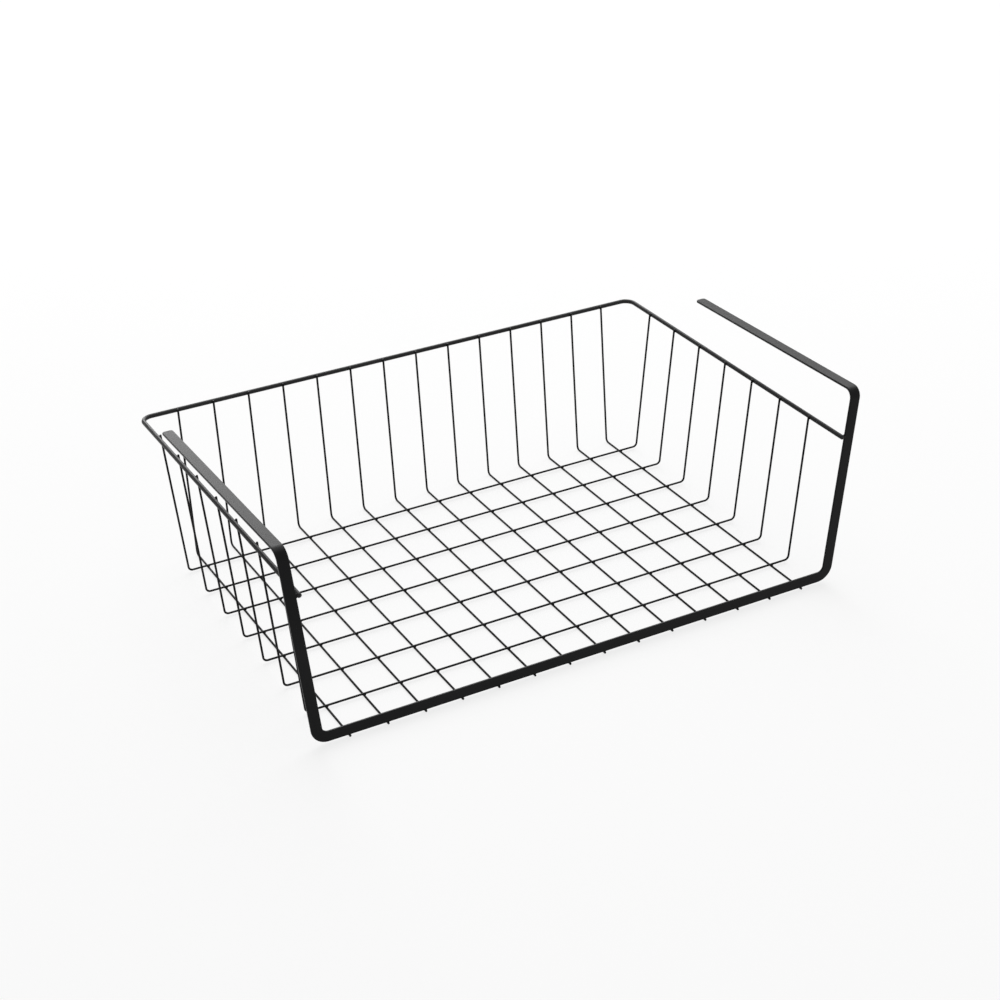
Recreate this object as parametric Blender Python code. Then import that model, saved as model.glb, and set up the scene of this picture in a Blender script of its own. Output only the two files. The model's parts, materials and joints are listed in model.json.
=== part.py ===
"""Under shelf basket of welded steel wire, hung from one bent flat strip.

Lengths are in metres. +X runs along the front from left to right, +Y from the
front to the back and +Z up. The origin lies under the middle of the basket, at
the level of its lowest wires. The two arms lie on a shelf board, the board fills
the slot under them, and the basket hangs below the board.
"""
import math

import bmesh
import bpy
from mathutils import Quaternion, Vector

# Hanging frame: front bar, two uprights and two shelf arms, all one flat strip
FRAME_WIDTH = 0.400
UPRIGHT_SPLAY = 0.0139
STRIP_WIDTH = 0.0072
STRIP_THICKNESS = 0.0016
STRIP_EDGE_RADIUS = 0.0005
FOOT_BEND_RADIUS = 0.0075
SHOULDER_BEND_RADIUS = 0.006
ARM_LENGTH = 0.1755
ARM_DROP = 0.0041
ARM_TIP_RADIUS = 0.0020
SHELF_SLOT = 0.0288

# Rim: one round wire from upright to upright, round the back of the basket
RIM_DIAMETER = 0.0030
RIM_HEIGHT = 0.1049
RIM_CORNER_RADIUS = 0.0075

# Mesh: U-shaped long wires over L-shaped cross wires, welded at every crossing
WIRE_DIAMETER = 0.0014
WIRE_BEND_RADIUS = 0.0030
WIRE_TIP_OVERHANG = 0.0005
FLOOR_INSET = 0.0065
FLOOR_DEPTH = 0.2417
BACK_LEAN = 0.0095
LONG_WIRES = 7
LONG_FRONT_MARGIN = 0.0325
LONG_BACK_MARGIN = 0.0196
CROSS_WIRES = 14
CROSS_SIDE_MARGIN = 0.0135

# Pieces that are welded together lie this far apart
WELD_GAP = 0.0003

# Coats: name, colour and roughness
STRIP_COAT = ("coated strip steel", (0.018, 0.018, 0.019, 1), 0.38)
RIM_COAT = ("coated rim steel", (0.016, 0.016, 0.017, 1), 0.36)
LONG_WIRE_COAT = ("coated long wire steel", (0.020, 0.020, 0.021, 1), 0.40)
CROSS_WIRE_COAT = ("coated cross wire steel", (0.019, 0.019, 0.020, 1), 0.40)

# Facets
WIRE_BEND_STEPS = 6
RIM_BEND_STEPS = 8
STRIP_BEND_STEPS = 8
TIP_STEPS = 3
WIRE_RESOLUTION = 4
RIM_RESOLUTION = 6
EDGE_SEGMENTS = 2
SHARP_EDGE = math.radians(50)
MERGE_DISTANCE = WELD_GAP / 10

# Heights, from the level that the basket stands on
CROSS_WIRE_Z = WIRE_DIAMETER / 2
LONG_WIRE_Z = CROSS_WIRE_Z + WIRE_DIAMETER + WELD_GAP
FRONT_BAR_Z = WIRE_DIAMETER + WELD_GAP + STRIP_WIDTH / 2
WIRE_TIP_Z = RIM_HEIGHT + RIM_DIAMETER / 2
ARM_Z = WIRE_TIP_Z + SHELF_SLOT + STRIP_THICKNESS / 2

# Depths: the strip's front face and the rim's back are as far from the origin
WALL_TO_RIM = WIRE_DIAMETER / 2 + WELD_GAP + RIM_DIAMETER / 2
FRONT_REACH = STRIP_THICKNESS / 2 + WIRE_TIP_OVERHANG
BACK_REACH = FLOOR_DEPTH + BACK_LEAN + WALL_TO_RIM + RIM_DIAMETER / 2
FRAME_Y = (FRONT_REACH - BACK_REACH) / 2
CROSS_TIP_Y = FRAME_Y - FRONT_REACH
BACK_BEND_Y = FRAME_Y + FLOOR_DEPTH
RIM_BACK_Y = BACK_BEND_Y + BACK_LEAN + WALL_TO_RIM

# Half widths: the uprights splay outward, the rim seats between them
SHOULDER_X = FRAME_WIDTH / 2 - STRIP_WIDTH / 2
FOOT_X = SHOULDER_X - UPRIGHT_SPLAY
UPRIGHT_SLOPE = UPRIGHT_SPLAY / (ARM_Z - FRONT_BAR_Z)
UPRIGHT_X_AT_RIM = FOOT_X + UPRIGHT_SLOPE * (RIM_HEIGHT - FRONT_BAR_Z)
RIM_X = UPRIGHT_X_AT_RIM - STRIP_WIDTH / 2 - WELD_GAP - RIM_DIAMETER / 2
SIDE_BEND_X = FOOT_X - FLOOR_INSET
SIDE_WALL_X_AT_RIM = RIM_X - WALL_TO_RIM

X_AXIS = Vector((1, 0, 0))
Y_AXIS = Vector((0, 1, 0))


def bend(before, corner, after, radius, steps):
    """The points round one bend of a path, each with the way the path runs there."""
    arriving = (corner - before).normalized()
    leaving = (after - corner).normalized()
    turn = arriving.angle(leaving)
    axis = arriving.cross(leaving).normalized()
    start = corner - arriving * radius * math.tan(turn / 2)
    centre = start + axis.cross(arriving) * radius
    stations = []
    for step in range(steps + 1):
        swing = Quaternion(axis, turn * step / steps)
        stations.append((centre + swing @ (start - centre), swing @ arriving))
    return stations


def bent_path(corners, radius, steps):
    """The points of a wire that runs straight between its corners and bends at each."""
    path = [corners[0]]
    for before, corner, after in zip(corners, corners[1:], corners[2:]):
        path += [point for point, way in bend(before, corner, after, radius, steps)]
    return path + [corners[-1]]


def coating(name, colour, roughness):
    """A coloured coat baked on steel, which hides the metal under it."""
    material = bpy.data.materials.new(name)
    material.use_nodes = True
    shader = material.node_tree.nodes["Principled BSDF"]
    shader.inputs["Base Color"].default_value = colour
    shader.inputs["Roughness"].default_value = roughness
    shader.inputs["Metallic"].default_value = 0
    return material


def wire_shape(name, path, diameter, resolution, coat):
    """A round wire along a path, cut square at both ends."""
    curve = bpy.data.curves.new(name, "CURVE")
    curve.dimensions = "3D"
    curve.bevel_depth = diameter / 2
    curve.bevel_resolution = resolution
    curve.use_fill_caps = True
    spline = curve.splines.new("POLY")
    spline.points.add(len(path) - 1)
    for spot, point in zip(spline.points, path):
        spot.co = (*point, 1)
    curve.materials.append(coating(*coat))
    return curve


def place(name, shape, location, origin):
    """One named piece of the basket, carried by the origin empty."""
    piece = bpy.data.objects.new(name, shape)
    bpy.context.scene.collection.objects.link(piece)
    piece.location = location
    piece.parent = origin
    return piece


def strip_stations():
    """The right half of the strip, from the middle of the front bar to the arm's tip.

    Each station is a centre point, the way the strip's width lies and half that
    width. The strip stands on edge along the front bar, turns flat to the front up
    the upright and lies flat along the arm.
    """
    half_width = STRIP_WIDTH / 2
    middle = Vector((0, 0, FRONT_BAR_Z))
    foot = Vector((FOOT_X, 0, FRONT_BAR_Z))
    shoulder = Vector((SHOULDER_X, 0, ARM_Z))
    reach = math.sqrt(ARM_LENGTH ** 2 - ARM_DROP ** 2)
    tip = Vector((SHOULDER_X, reach, ARM_Z - ARM_DROP))
    along_arm = (tip - shoulder).normalized()

    stations = [(middle, X_AXIS.cross(Y_AXIS), half_width)]
    for point, way in bend(middle, foot, shoulder, FOOT_BEND_RADIUS, STRIP_BEND_STEPS):
        stations.append((point, way.cross(Y_AXIS), half_width))
    upright_across = stations[-1][1]
    shoulder_bend = bend(foot, shoulder, tip, SHOULDER_BEND_RADIUS, STRIP_BEND_STEPS)
    for step, (point, way) in enumerate(shoulder_bend):
        across = upright_across.lerp(-X_AXIS, step / STRIP_BEND_STEPS)
        across -= way * across.dot(way)
        stations.append((point, across.normalized(), half_width))
    for step in range(TIP_STEPS + 1):
        angle = math.pi / 2 * step / TIP_STEPS
        point = tip - along_arm * ARM_TIP_RADIUS * (1 - math.sin(angle))
        width_left = half_width - ARM_TIP_RADIUS * (1 - math.cos(angle))
        stations.append((point, -X_AXIS, width_left))
    return stations


def hanging_frame_shape():
    """A ribbon along the strip's centre, as wide as the strip, for the right half."""
    bm = bmesh.new()
    rungs = []
    for point, across, half_width in strip_stations():
        one_side = bm.verts.new(point + across * half_width)
        other_side = bm.verts.new(point - across * half_width)
        rungs.append((one_side, other_side))
    for (a, b), (c, d) in zip(rungs, rungs[1:]):
        bm.faces.new((a, b, d, c))
    mesh = bpy.data.meshes.new("hanging_frame")
    bm.to_mesh(mesh)
    bm.free()
    return mesh


def hanging_frame(origin):
    """Front bar, uprights and shelf arms: the ribbon mirrored, thickened and rounded."""
    shape = hanging_frame_shape()
    shape.shade_smooth()
    shape.materials.append(coating(*STRIP_COAT))
    frame = place("hanging_frame", shape, (0, FRAME_Y, 0), origin)
    halves = frame.modifiers.new("both halves", "MIRROR")
    halves.merge_threshold = MERGE_DISTANCE
    thickness = frame.modifiers.new("strip thickness", "SOLIDIFY")
    thickness.thickness = STRIP_THICKNESS
    thickness.offset = 0
    thickness.use_even_offset = True
    edges = frame.modifiers.new("rolled edges", "BEVEL")
    edges.width = STRIP_EDGE_RADIUS
    edges.segments = EDGE_SEGMENTS
    edges.limit_method = "ANGLE"
    edges.angle_limit = SHARP_EDGE


def rim_wire(origin):
    """The rim, level all round, with its ends against the inner edges of the uprights."""
    end_y = FRAME_Y - STRIP_THICKNESS / 2
    corners = [
        Vector((-RIM_X, end_y, RIM_HEIGHT)),
        Vector((-RIM_X, RIM_BACK_Y, RIM_HEIGHT)),
        Vector((RIM_X, RIM_BACK_Y, RIM_HEIGHT)),
        Vector((RIM_X, end_y, RIM_HEIGHT)),
    ]
    path = bent_path(corners, RIM_CORNER_RADIUS, RIM_BEND_STEPS)
    shape = wire_shape("rim_wire", path, RIM_DIAMETER, RIM_RESOLUTION, RIM_COAT)
    place("rim_wire", shape, (0, 0, 0), origin)


def long_wires(origin):
    """The wires that run along the floor and up both side walls to the rim."""
    rise = WIRE_TIP_Z - LONG_WIRE_Z
    slope = (SIDE_WALL_X_AT_RIM - SIDE_BEND_X) / (RIM_HEIGHT - LONG_WIRE_Z)
    tip_x = SIDE_BEND_X + slope * rise
    corners = [
        Vector((-tip_x, 0, rise)),
        Vector((-SIDE_BEND_X, 0, 0)),
        Vector((SIDE_BEND_X, 0, 0)),
        Vector((tip_x, 0, rise)),
    ]
    path = bent_path(corners, WIRE_BEND_RADIUS, WIRE_BEND_STEPS)
    shape = wire_shape("long_wire", path, WIRE_DIAMETER, WIRE_RESOLUTION, LONG_WIRE_COAT)
    first_y = FRAME_Y + LONG_FRONT_MARGIN
    pitch = (FLOOR_DEPTH - LONG_FRONT_MARGIN - LONG_BACK_MARGIN) / (LONG_WIRES - 1)
    for count in range(LONG_WIRES):
        spot = (0, first_y + pitch * count, LONG_WIRE_Z)
        place(f"long_wire_{count + 1}", shape, spot, origin)


def cross_wires(origin):
    """The wires from under the front bar, along the floor and up the back to the rim."""
    rise = WIRE_TIP_Z - CROSS_WIRE_Z
    slope = BACK_LEAN / (RIM_HEIGHT - CROSS_WIRE_Z)
    corners = [
        Vector((0, CROSS_TIP_Y, 0)),
        Vector((0, BACK_BEND_Y, 0)),
        Vector((0, BACK_BEND_Y + slope * rise, rise)),
    ]
    path = bent_path(corners, WIRE_BEND_RADIUS, WIRE_BEND_STEPS)
    shape = wire_shape("cross_wire", path, WIRE_DIAMETER, WIRE_RESOLUTION, CROSS_WIRE_COAT)
    first_x = CROSS_SIDE_MARGIN - SIDE_BEND_X
    pitch = -first_x * 2 / (CROSS_WIRES - 1)
    for count in range(CROSS_WIRES):
        spot = (first_x + pitch * count, 0, CROSS_WIRE_Z)
        place(f"cross_wire_{count + 1:02d}", shape, spot, origin)


def main():
    """Clear the scene and build the basket round its origin."""
    for item in list(bpy.data.objects):
        bpy.data.objects.remove(item, do_unlink=True)
    origin = bpy.data.objects.new("basket_origin", None)
    bpy.context.scene.collection.objects.link(origin)
    hanging_frame(origin)
    rim_wire(origin)
    long_wires(origin)
    cross_wires(origin)
    bpy.context.view_layer.update()


main()
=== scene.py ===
"""Looks of an under shelf basket of welded steel wire with a baked black coat.

Lengths are in metres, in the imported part's frame. +X runs along the front from left
to right, +Y from the front to the back and +Z up, and the basket stands at height 0.
"""
import json
import math

import bmesh
import bpy
from mathutils import Matrix, Vector


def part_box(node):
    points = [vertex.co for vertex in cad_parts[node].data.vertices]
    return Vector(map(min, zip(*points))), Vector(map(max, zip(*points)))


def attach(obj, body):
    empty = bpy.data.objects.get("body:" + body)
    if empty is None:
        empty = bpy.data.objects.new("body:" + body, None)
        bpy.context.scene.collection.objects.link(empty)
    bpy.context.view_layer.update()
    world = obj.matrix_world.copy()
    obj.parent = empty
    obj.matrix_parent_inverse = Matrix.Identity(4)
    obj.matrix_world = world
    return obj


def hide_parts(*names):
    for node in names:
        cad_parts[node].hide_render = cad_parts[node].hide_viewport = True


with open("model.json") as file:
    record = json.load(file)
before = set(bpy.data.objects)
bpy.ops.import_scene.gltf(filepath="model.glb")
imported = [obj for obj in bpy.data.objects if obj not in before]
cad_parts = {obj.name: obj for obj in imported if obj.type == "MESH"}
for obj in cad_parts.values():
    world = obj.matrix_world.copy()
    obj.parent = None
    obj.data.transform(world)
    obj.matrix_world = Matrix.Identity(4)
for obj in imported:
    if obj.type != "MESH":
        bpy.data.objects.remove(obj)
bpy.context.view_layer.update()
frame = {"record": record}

# Stock that the basket is bent from, and its bends
STRIP_WIDTH = 0.0072
STRIP_THICKNESS = 0.0016
STRIP_EDGE_RADIUS = 0.0005
UPRIGHT_SPLAY = 0.0139
FOOT_BEND_RADIUS = 0.0075
SHOULDER_BEND_RADIUS = 0.0060
ARM_TIP_RADIUS = 0.0020
RIM_DIAMETER = 0.0030
RIM_CORNER_RADIUS = 0.0075
WIRE_DIAMETER = 0.0014
WIRE_BEND_RADIUS = 0.0030
FLOOR_INSET = 0.0065
BACK_LEAN = 0.0095
LONG_WIRES = 7
CROSS_WIRES = 14

# Each weld presses two wires this far into each other
WELD_SINK = 0.0001
# The coat rounds the square cut at a wire's end
WIRE_END_ROUNDING = 0.0002
RIM_END_ROUNDING = 0.0003

# Half sizes of the weld beads, along X, Y and Z
FLOOR_BEAD = (0.0013, 0.0013, 0.0007)
BAR_BEAD = (0.0013, 0.0009, 0.0006)
SIDE_RIM_BEAD = (0.0006, 0.0013, 0.0011)
BACK_RIM_BEAD = (0.0013, 0.0006, 0.0011)
RIM_END_BEAD = (0.0009, 0.0010, 0.0015)

# Facets
RIM_SIDES = 24
WIRE_SIDES = 16
BEND_STEPS = 12
STRIP_BEND_STEPS = 16
TIP_SEGMENTS = 4
EDGE_SEGMENTS = 3
ROD_END_SEGMENTS = 2
BEAD_SUBDIVISIONS = 2
FLOOR_SEGMENTS = 128
# The profile of a bevel that is a quarter of a circle
ROUND_PROFILE = 0.5
# Edges that turn more sharply than this are rolled
SHARP_EDGE = math.radians(50)
# Corners this near each other become one where the strip's two halves meet
MERGE_DISTANCE = 0.0001

# Places of the strip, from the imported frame
strip_low, strip_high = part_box("hanging_frame")
shoulder_x = strip_high.x - STRIP_WIDTH / 2
foot_x = shoulder_x - UPRIGHT_SPLAY
strip_y = strip_low.y + STRIP_THICKNESS / 2
bar_z = WIRE_DIAMETER - WELD_SINK + STRIP_WIDTH / 2
arm_seat = next(m for m in frame["record"]["mounts"] if m["name"] == "right_arm_underside")
arm_slope = math.asin(-arm_seat["axis"][1])
arm_middle = Vector(arm_seat["pos_m"]) - Vector(arm_seat["axis"]) * STRIP_THICKNESS / 2
shoulder_z = arm_middle.z + (arm_middle.y - strip_y) * math.tan(arm_slope)
upright_lean = math.atan(UPRIGHT_SPLAY / (shoulder_z - bar_z))

# Places of the rim and the mesh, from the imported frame
rim_low, rim_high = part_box("rim_wire")
rim_x = rim_high.x - RIM_DIAMETER / 2
rim_back_y = rim_high.y - RIM_DIAMETER / 2
rim_z = (rim_low.z + rim_high.z) / 2
wall_to_rim = (WIRE_DIAMETER + RIM_DIAMETER) / 2 - WELD_SINK
cross_z = WIRE_DIAMETER / 2
long_z = cross_z + WIRE_DIAMETER - WELD_SINK
side_bend_x = foot_x - FLOOR_INSET
long_boxes = [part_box(f"long_wire_{count + 1}") for count in range(LONG_WIRES)]
long_ys = [(low.y + high.y) / 2 for low, high in long_boxes]
cross_boxes = [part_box(f"cross_wire_{count + 1:02d}") for count in range(CROSS_WIRES)]
cross_xs = [(low.x + high.x) / 2 for low, high in cross_boxes]
cross_front_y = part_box("cross_wire_01")[0].y
back_bend_y = rim_back_y - (WIRE_DIAMETER + RIM_DIAMETER) / 2 - BACK_LEAN

# Camera, as the photograph was taken: metres, degrees, and millimetres for the lens
CAMERA_PLACE = (-0.54814, -1.03124, 0.70068)
CAMERA_AZIMUTH = -28.3942
CAMERA_ELEVATION = 29.0705
CAMERA_ROLL = -1.063
LENS = 73.342
SENSOR_WIDTH = 36

# Baked powder coat. Its film drifts in thickness over about 40 mm
FILM_DRIFT = 0.040
# Powder grains are about 0.05 mm across, drawn ten times as coarse so that they show
GRAIN_SIZE = 0.0005
GRAIN_HEIGHT = 0.000006
# The grains change the coat's roughness by this much either way
GRAIN_ROUGHNESS = 0.04
# The waves of its orange peel are about 2.4 mm long
PEEL_WAVE = 0.0024
# Noise keeps near its middle, and these parts of its range are stretched to the whole
FILM_NOISE = (0.35, 0.65)
GRAIN_NOISE = (0.3, 0.7)
# Share of the strip's half width at which the smoother coat on its edges starts
EDGE_START = 0.80
POWDER_IOR = 1.5
# A baked coat starts from 0.5. These are lower, as mirrored rays meet white all round here
SPECULAR_LEVEL = 0.11
RIM_SPECULAR_LEVEL = 0.20

# A colour Mix node's sockets: its share, its two colours and its result
MIX_SHARE, MIX_FIRST, MIX_SECOND, MIX_RESULT = 0, 6, 7, 2

# Studio. The softboxes and the fill together light a level surface to about its own colour
WHITE = "ffffff"
PAPER = "fafafa"
FLOOR_RADIUS = 8.0
FLOOR_LIFT = 0.75
LIT_FLOOR_RADIUS = 0.7
WHITE_FLOOR_RADIUS = 3.0
FILL_LIGHT = 0.15
SOFTBOX_DISTANCE = 4.0
# Each softbox: degrees to the right of straight behind, degrees up, width, height, luminance
LOW_SOFTBOX = (14, 17, 2.3, 1.6, 4.1)
HIGH_SOFTBOX = (36, 42, 4.4, 2.6, 3.1)
TOP_SOFTBOX = (20, 84, 3.0, 3.0, 2.2)

X_AXIS = Vector((1, 0, 0))
Y_AXIS = Vector((0, 1, 0))


def corners_of(end):
    """The corner points of a rod's or strip's end."""
    return [part for part in end if isinstance(part, bmesh.types.BMVert)]


def push(bm, end, travel):
    """Draws the end of a rod or strip straight on, and gives the new end."""
    grown = bmesh.ops.extrude_face_region(bm, geom=end)["geom"]
    bmesh.ops.translate(bm, vec=travel, verts=corners_of(grown))
    return grown


def turn(bm, end, centre, axis, angle, steps):
    """Bends the end of a rod or strip round an axis, and gives the new end."""
    bent = bmesh.ops.spin(bm, geom=end, cent=centre, axis=axis, angle=angle, steps=steps)
    return bent["geom_last"]


def finished(name, bm, coat, slot, *nodes):
    """One piece of the basket from its mesh, with its coat, in place of CAD nodes."""
    mesh = bpy.data.meshes.new(name)
    bm.to_mesh(mesh)
    bm.free()
    mesh.shade_smooth()
    mesh.materials.append(coat)
    piece = bpy.data.objects.new(name, mesh)
    bpy.context.scene.collection.objects.link(piece)
    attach(piece, "root")
    if nodes:
        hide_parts(*nodes)
    return piece


def frame_strip(coat):
    """Front bar, uprights and arms: one flat strip bent from the middle of the bar."""
    bm = bmesh.new()
    across = bm.verts.layers.float.new("across")
    lower = bm.verts.new((0, strip_y, bar_z - STRIP_WIDTH / 2))
    upper = bm.verts.new((0, strip_y, bar_z + STRIP_WIDTH / 2))
    lower[across], upper[across] = -1, 1
    end = [lower, upper, bm.edges.new((lower, upper))]

    foot_turn = math.pi / 2 - upright_lean
    foot_run = FOOT_BEND_RADIUS * math.tan(foot_turn / 2)
    foot_start = Vector((foot_x - foot_run, strip_y, bar_z))
    end = push(bm, end, X_AXIS * foot_start.x)
    foot_centre = foot_start + Vector((0, 0, FOOT_BEND_RADIUS))
    end = turn(bm, end, foot_centre, Y_AXIS, -foot_turn, STRIP_BEND_STEPS)

    shoulder_turn = math.pi / 2 + arm_slope
    shoulder_run = SHOULDER_BEND_RADIUS * math.tan(shoulder_turn / 2)
    up = Vector((math.sin(upright_lean), 0, math.cos(upright_lean)))
    foot_end = Vector((foot_x, strip_y, bar_z)) + up * foot_run
    shoulder_start = Vector((shoulder_x, strip_y, shoulder_z)) - up * shoulder_run / up.z
    end = push(bm, end, shoulder_start - foot_end)

    # The upright's end is turned level, the shoulder and arm are bent straight back
    # from it, and both are then sheared so that the shoulder leans as the upright does
    level = Matrix.Rotation(-upright_lean, 3, "Y")
    bmesh.ops.rotate(bm, cent=shoulder_start, matrix=level, verts=corners_of(end))
    below = set(bm.verts)
    shoulder_centre = shoulder_start + Y_AXIS * SHOULDER_BEND_RADIUS
    end = turn(bm, end, shoulder_centre, X_AXIS, -shoulder_turn, STRIP_BEND_STEPS)
    bent = [corner for corner in bm.verts if corner not in below]
    lean = Matrix.Shear("XY", 4, (math.tan(upright_lean), 0))
    bmesh.ops.transform(bm, matrix=lean, space=Matrix.Translation(-shoulder_start), verts=bent)
    along = Vector((0, math.cos(arm_slope), -math.sin(arm_slope)))
    arm_run = (strip_high.y - strip_y) / along.y - shoulder_run
    end = push(bm, end, along * arm_run)
    bmesh.ops.bevel(
        bm, geom=corners_of(end), affect="VERTICES", offset=ARM_TIP_RADIUS,
        offset_type="OFFSET", segments=TIP_SEGMENTS, profile=ROUND_PROFILE, material=-1,
    )

    whole = [*bm.verts, *bm.edges, *bm.faces]
    bmesh.ops.mirror(bm, geom=whole, axis="X", merge_dist=MERGE_DISTANCE)
    bmesh.ops.recalc_face_normals(bm, faces=bm.faces)
    strip = finished("coated_frame_strip", bm, coat, "strip_coat", "hanging_frame")
    wall = strip.modifiers.new("strip thickness", "SOLIDIFY")
    wall.thickness = STRIP_THICKNESS
    wall.offset = 0
    wall.use_even_offset = True
    edges = strip.modifiers.new("rolled edges", "BEVEL")
    edges.width = STRIP_EDGE_RADIUS
    edges.segments = EDGE_SEGMENTS
    edges.limit_method = "ANGLE"
    edges.angle_limit = SHARP_EDGE
    edges.harden_normals = True


def bent_rod(corners, bend_radius, diameter, sides, end_rounding):
    """A round rod that runs straight between its corners and bends at each."""
    bm = bmesh.new()
    way = (corners[1] - corners[0]).normalized()
    section = Matrix.Translation(corners[0]) @ way.to_track_quat("Z", "Y").to_matrix().to_4x4()
    bmesh.ops.create_circle(bm, cap_ends=True, radius=diameter / 2, segments=sides, matrix=section)
    end = [*bm.faces, *bm.edges, *bm.verts]
    reached = corners[0]
    for corner, after in zip(corners[1:], corners[2:]):
        arriving = (corner - reached).normalized()
        leaving = (after - corner).normalized()
        angle = arriving.angle(leaving)
        axis = arriving.cross(leaving).normalized()
        run = bend_radius * math.tan(angle / 2)
        bend_start = corner - arriving * run
        end = push(bm, end, bend_start - reached)
        centre = bend_start + axis.cross(arriving) * bend_radius
        end = turn(bm, end, centre, axis, angle, BEND_STEPS)
        reached = corner + leaving * run
    push(bm, end, corners[-1] - reached)
    bmesh.ops.recalc_face_normals(bm, faces=bm.faces)
    cuts = [
        edge for edge in bm.edges
        if any(len(face.verts) == sides for face in edge.link_faces)
    ]
    bmesh.ops.bevel(
        bm, geom=cuts, affect="EDGES", offset=end_rounding, offset_type="OFFSET",
        segments=ROD_END_SEGMENTS, profile=ROUND_PROFILE, material=-1,
    )
    return bm


def rim(coat):
    """The rim, level all round, from one upright round the back to the other."""
    corners = [
        Vector((-rim_x, rim_low.y, rim_z)),
        Vector((-rim_x, rim_back_y, rim_z)),
        Vector((rim_x, rim_back_y, rim_z)),
        Vector((rim_x, rim_low.y, rim_z)),
    ]
    bm = bent_rod(corners, RIM_CORNER_RADIUS, RIM_DIAMETER, RIM_SIDES, RIM_END_ROUNDING)
    finished("coated_rim", bm, coat, "rim_coat", "rim_wire")


def long_wires(coat):
    """Seven wide U shapes along the floor and up both side walls to the rim."""
    slope = (rim_x - wall_to_rim - side_bend_x) / (rim_z - long_z)
    tip_x = side_bend_x + slope * (rim_high.z - long_z)
    for count, y in enumerate(long_ys):
        corners = [
            Vector((-tip_x, y, rim_high.z)),
            Vector((-side_bend_x, y, long_z)),
            Vector((side_bend_x, y, long_z)),
            Vector((tip_x, y, rim_high.z)),
        ]
        bm = bent_rod(corners, WIRE_BEND_RADIUS, WIRE_DIAMETER, WIRE_SIDES, WIRE_END_ROUNDING)
        node = f"long_wire_{count + 1}"
        finished(f"coated_{node}", bm, coat, "long_wire_coat", node)


def cross_wires(coat):
    """Fourteen L shapes from under the front bar, along the floor and up the back."""
    slope = (rim_back_y - wall_to_rim - back_bend_y) / (rim_z - cross_z)
    tip_y = back_bend_y + slope * (rim_high.z - cross_z)
    for count, x in enumerate(cross_xs):
        corners = [
            Vector((x, cross_front_y, cross_z)),
            Vector((x, back_bend_y, cross_z)),
            Vector((x, tip_y, rim_high.z)),
        ]
        bm = bent_rod(corners, WIRE_BEND_RADIUS, WIRE_DIAMETER, WIRE_SIDES, WIRE_END_ROUNDING)
        node = f"cross_wire_{count + 1:02d}"
        finished(f"coated_{node}", bm, coat, "cross_wire_coat", node)


def weld_beads(name, spots, bead, coat, slot):
    """One small flattened bead of coated weld metal at each spot."""
    bm = bmesh.new()
    for spot in spots:
        shape = Matrix.Translation(spot) @ Matrix.Diagonal((*bead, 1))
        bmesh.ops.create_icosphere(bm, subdivisions=BEAD_SUBDIVISIONS, radius=1, matrix=shape)
    finished(name, bm, coat, slot)


def welds(coat):
    """The beads where wires cross, where they meet the rim and along the front bar."""
    floor_z = (cross_z + long_z) / 2
    floor_spots = [(x, y, floor_z) for x in cross_xs for y in long_ys]
    weld_beads("floor_welds", floor_spots, FLOOR_BEAD, coat, "long_wire_coat")
    bar_spots = [(x, strip_y, WIRE_DIAMETER) for x in cross_xs]
    weld_beads("bar_welds", bar_spots, BAR_BEAD, coat, "strip_coat")
    touch_x = rim_x - RIM_DIAMETER / 2
    side_spots = [(side * touch_x, y, rim_z) for side in (-1, 1) for y in long_ys]
    weld_beads("side_rim_welds", side_spots, SIDE_RIM_BEAD, coat, "rim_coat")
    touch_y = rim_back_y - RIM_DIAMETER / 2
    back_spots = [(x, touch_y, rim_z) for x in cross_xs]
    weld_beads("back_rim_welds", back_spots, BACK_RIM_BEAD, coat, "rim_coat")
    inner_x = foot_x + (rim_z - bar_z) * math.tan(upright_lean) - STRIP_WIDTH / 2
    seam_x = (rim_high.x + inner_x) / 2
    end_spots = [(side * seam_x, strip_y, rim_z) for side in (-1, 1)]
    weld_beads("rim_end_welds", end_spots, RIM_END_BEAD, coat, "strip_coat")


def linear(code):
    """A colour written as sRGB hex, such as 1a1a1b, as the shader's linear values.

    The numbers are those of the sRGB curve itself.
    """
    values = []
    for at in (0, 2, 4):
        share = int(code[at:at + 2], 16) / 255
        values.append(share / 12.92 if share <= 0.04045 else ((share + 0.055) / 1.055) ** 2.4)
    return (*values, 1)


def add_node(tree, kind, sockets=(), **settings):
    """Adds a node with its settings. A socket is given a value or linked to an output."""
    node = tree.nodes.new(kind)
    for setting, value in settings.items():
        setattr(node, setting, value)
    for socket, value in dict(sockets).items():
        if isinstance(value, bpy.types.NodeSocket):
            tree.links.new(value, node.inputs[socket])
        else:
            node.inputs[socket].default_value = value
    return node


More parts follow.
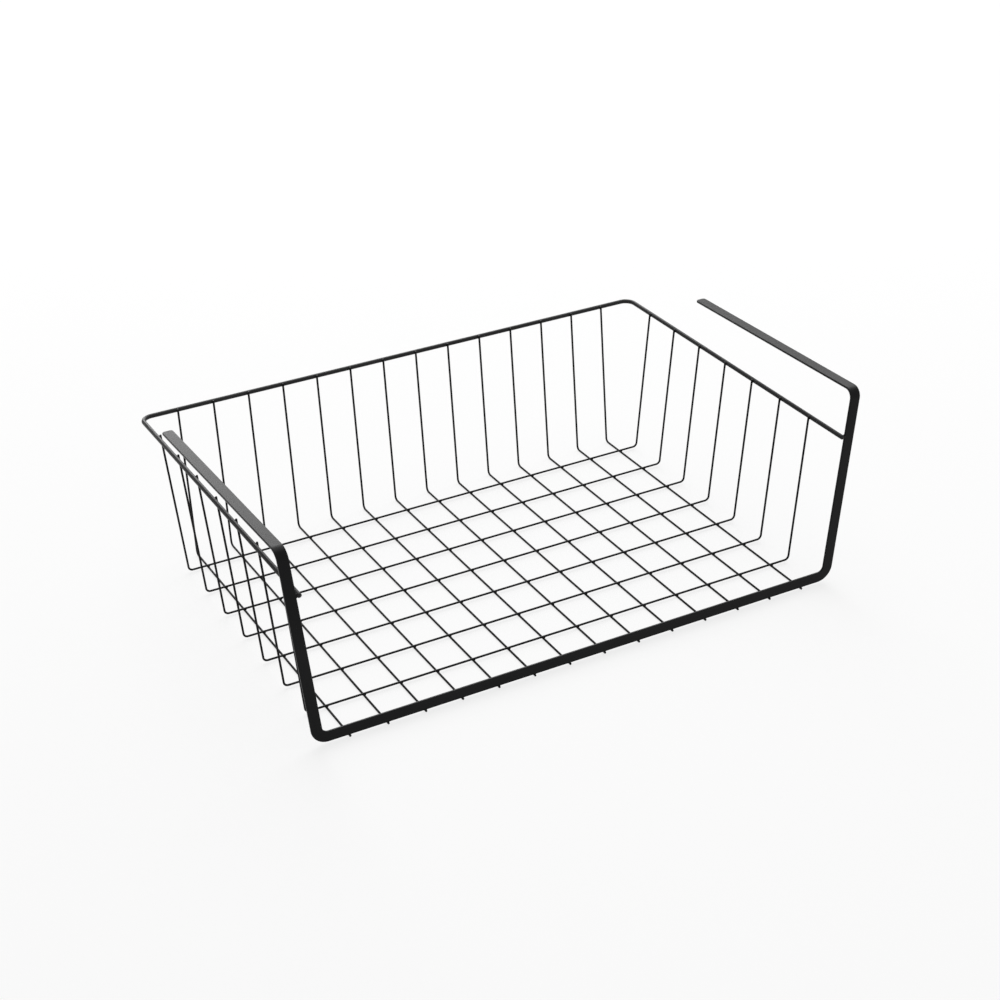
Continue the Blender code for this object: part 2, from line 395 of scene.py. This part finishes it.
def powder_coat(
    name, deep, pale, roughness, peel_height, specular=SPECULAR_LEVEL, edge_gloss=0,
):
    """Black polyester powder, sprayed dry on degreased steel and baked until it flowed.

    It hides the metal, so it isn't metallic. The eye gets a satin black that softly
    mirrors pale surroundings, slightly wavy like orange peel where the powder flowed,
    with a fine grain in the gloss and a little cloudiness where the film is thicker.
    Where a strip's edge_gloss is given, the film is thin and smooth on its edges.
    """
    material = bpy.data.materials.new(name)
    material.use_nodes = True
    tree = material.node_tree
    tree.nodes.clear()
    spot = add_node(tree, "ShaderNodeTexCoord").outputs["Object"]

    # The thickness of the film drifts, which clouds its black
    film = add_node(
        tree, "ShaderNodeTexNoise", {"Vector": spot, "Scale": 1 / FILM_DRIFT, "Detail": 2},
    ).outputs["Fac"]
    cloud = add_node(
        tree, "ShaderNodeMapRange",
        {"Value": film, "From Min": FILM_NOISE[0], "From Max": FILM_NOISE[1]},
    ).outputs["Result"]
    black = add_node(
        tree, "ShaderNodeMix",
        {MIX_SHARE: cloud, MIX_FIRST: linear(deep), MIX_SECOND: linear(pale)},
        data_type="RGBA",
    ).outputs[MIX_RESULT]

    # The grains make the roughness uneven
    grain = add_node(
        tree, "ShaderNodeTexNoise", {"Vector": spot, "Scale": 1 / GRAIN_SIZE, "Detail": 2},
    ).outputs["Fac"]
    rough = add_node(
        tree, "ShaderNodeMapRange",
        {"Value": grain, "From Min": GRAIN_NOISE[0], "From Max": GRAIN_NOISE[1],
         "To Min": roughness - GRAIN_ROUGHNESS, "To Max": roughness + GRAIN_ROUGHNESS},
    ).outputs["Result"]
    if edge_gloss:
        # The attribute runs from -1 to 1 across the strip, whose rolled edges start at 0.86
        across = add_node(tree, "ShaderNodeAttribute", attribute_name="across").outputs["Fac"]
        reach = add_node(tree, "ShaderNodeMath", {0: across}, operation="ABSOLUTE").outputs[0]
        edge = add_node(
            tree, "ShaderNodeMapRange",
            {"Value": reach, "From Min": EDGE_START, "From Max": 1, "To Max": edge_gloss},
            interpolation_type="SMOOTHSTEP",
        ).outputs["Result"]
        rough = add_node(
            tree, "ShaderNodeMath", {0: rough, 1: edge}, operation="SUBTRACT",
        ).outputs[0]

    # Orange peel has long low waves, and the grain gives a much finer tooth
    peel = add_node(
        tree, "ShaderNodeTexNoise", {"Vector": spot, "Scale": 1 / PEEL_WAVE, "Detail": 1},
    ).outputs["Fac"]
    waves = add_node(
        tree, "ShaderNodeBump", {"Height": peel, "Distance": peel_height},
    ).outputs["Normal"]
    tooth = add_node(
        tree, "ShaderNodeBump", {"Height": grain, "Distance": GRAIN_HEIGHT, "Normal": waves},
    ).outputs["Normal"]
    shader = add_node(
        tree, "ShaderNodeBsdfPrincipled",
        {"Base Color": black, "Roughness": rough, "Normal": tooth,
         "Metallic": 0, "IOR": POWDER_IOR, "Specular IOR Level": specular},
    )
    add_node(tree, "ShaderNodeOutputMaterial", {"Surface": shader.outputs["BSDF"]})
    return material


def seen_share(tree):
    """1 for a ray that shows the surroundings to the eye, straight or mirrored, else 0."""
    rays = add_node(tree, "ShaderNodeLightPath").outputs
    straight, mirrored = rays["Is Camera Ray"], rays["Is Glossy Ray"]
    seen = add_node(
        tree, "ShaderNodeMath", {0: straight, 1: mirrored}, operation="MAXIMUM",
    ).outputs[0]
    return add_node(
        tree, "ShaderNodeMath", {0: seen, 1: rays["Is Transmission Ray"]}, operation="MAXIMUM",
    ).outputs[0]


def studio_floor():
    """A white floor that keeps the basket's soft shadow and fades into the white round it.

    Near the basket the eye gets a share FLOOR_LIFT of plain white, and the lit paper else.
    """
    bm = bmesh.new()
    bmesh.ops.create_circle(bm, cap_ends=True, radius=FLOOR_RADIUS, segments=FLOOR_SEGMENTS)
    mesh = bpy.data.meshes.new("studio_floor")
    bm.to_mesh(mesh)
    bm.free()
    material = bpy.data.materials.new("white seamless paper")
    material.use_nodes = True
    tree = material.node_tree
    tree.nodes.clear()
    lit = add_node(tree, "ShaderNodeBsdfDiffuse", {"Color": linear(PAPER)}).outputs["BSDF"]
    white = add_node(
        tree, "ShaderNodeEmission", {"Color": linear(WHITE), "Strength": 1},
    ).outputs["Emission"]
    spot = add_node(tree, "ShaderNodeTexCoord").outputs["Object"]
    distance = add_node(
        tree, "ShaderNodeVectorMath", {0: spot}, operation="LENGTH",
    ).outputs["Value"]
    fade = add_node(
        tree, "ShaderNodeMapRange",
        {"Value": distance, "From Min": LIT_FLOOR_RADIUS, "From Max": WHITE_FLOOR_RADIUS,
         "To Min": FLOOR_LIFT},
        interpolation_type="SMOOTHSTEP",
    ).outputs["Result"]
    lift = add_node(
        tree, "ShaderNodeMath", {0: seen_share(tree), 1: fade}, operation="MULTIPLY",
    ).outputs[0]
    paper = add_node(tree, "ShaderNodeMixShader", {0: lift, 1: lit, 2: white}).outputs[0]
    add_node(tree, "ShaderNodeOutputMaterial", {"Surface": paper})
    mesh.materials.append(material)
    floor = bpy.data.objects.new("studio_floor", mesh)
    bpy.context.scene.collection.objects.link(floor)


def studio_world():
    """White to the eye all round, but only a weak fill as a light."""
    world = bpy.data.worlds.new("studio_world")
    bpy.context.scene.world = world
    world.use_nodes = True
    tree = world.node_tree
    tree.nodes.clear()
    strength = add_node(
        tree, "ShaderNodeMapRange",
        {"Value": seen_share(tree), "To Min": FILL_LIGHT, "To Max": 1},
    ).outputs["Result"]
    white = add_node(
        tree, "ShaderNodeBackground", {"Color": linear(WHITE), "Strength": strength},
    ).outputs["Background"]
    add_node(tree, "ShaderNodeOutputWorld", {"Surface": white})


def softbox(name, azimuth, elevation, width, height, luminance):
    """A wide soft lamp that faces the basket from behind or above it."""
    lamp = bpy.data.lights.new(name, "AREA")
    lamp.shape = "RECTANGLE"
    lamp.size, lamp.size_y = width, height
    # A flat lamp's watts are pi times its luminance for each square metre
    lamp.energy = luminance * math.pi * width * height
    box = bpy.data.objects.new(name, lamp)
    bpy.context.scene.collection.objects.link(box)
    box.matrix_world = (
        Matrix.Translation((0, 0, rim_z / 2))
        @ Matrix.Rotation(math.radians(180 - azimuth), 4, "Z")
        @ Matrix.Rotation(math.radians(90 - elevation), 4, "X")
        @ Matrix.Translation((0, 0, SOFTBOX_DISTANCE))
    )
    box.visible_camera = False


def camera():
    """The photograph's view: from the front left, looking down."""
    lens = bpy.data.cameras.new("camera")
    lens.sensor_width = SENSOR_WIDTH
    lens.lens = LENS
    eye = bpy.data.objects.new("camera", lens)
    bpy.context.scene.collection.objects.link(eye)
    eye.matrix_world = (
        Matrix.Translation(CAMERA_PLACE)
        @ Matrix.Rotation(math.radians(CAMERA_AZIMUTH), 4, "Z")
        @ Matrix.Rotation(math.radians(90 - CAMERA_ELEVATION), 4, "X")
        @ Matrix.Rotation(math.radians(CAMERA_ROLL), 4, "Z")
    )
    bpy.context.scene.camera = eye


strip_coat = powder_coat(
    "satin black powder coat on strip", "0a0a0b", "141415",
    roughness=0.37, peel_height=0.00003, edge_gloss=0.08,
)
# The rim's black is painted a little paler than the other coats: a painted highlight that stands
# in for the sheen along the round rod's top
rim_coat = powder_coat(
    "satin black powder coat on rim rod with painted highlight", "131314", "1b1b1c",
    roughness=0.37, peel_height=0.00002, specular=RIM_SPECULAR_LEVEL,
)
long_coat = powder_coat(
    "satin black powder coat on long wires", "0e0e0f", "141415",
    roughness=0.41, peel_height=0.00001,
)
cross_coat = powder_coat(
    "satin black powder coat on cross wires", "0d0d0e", "131314",
    roughness=0.41, peel_height=0.00001,
)
weld_coat = powder_coat(
    "satin black powder coat gathered on welds", "0b0b0c", "101011",
    roughness=0.34, peel_height=0.00001,
)

frame_strip(strip_coat)
rim(rim_coat)
long_wires(long_coat)
cross_wires(cross_coat)
welds(weld_coat)
studio_floor()
studio_world()
softbox("low_softbox", *LOW_SOFTBOX)
softbox("high_softbox", *HIGH_SOFTBOX)
softbox("top_softbox", *TOP_SOFTBOX)
camera()

bpy.context.scene.view_settings.view_transform = "Standard"
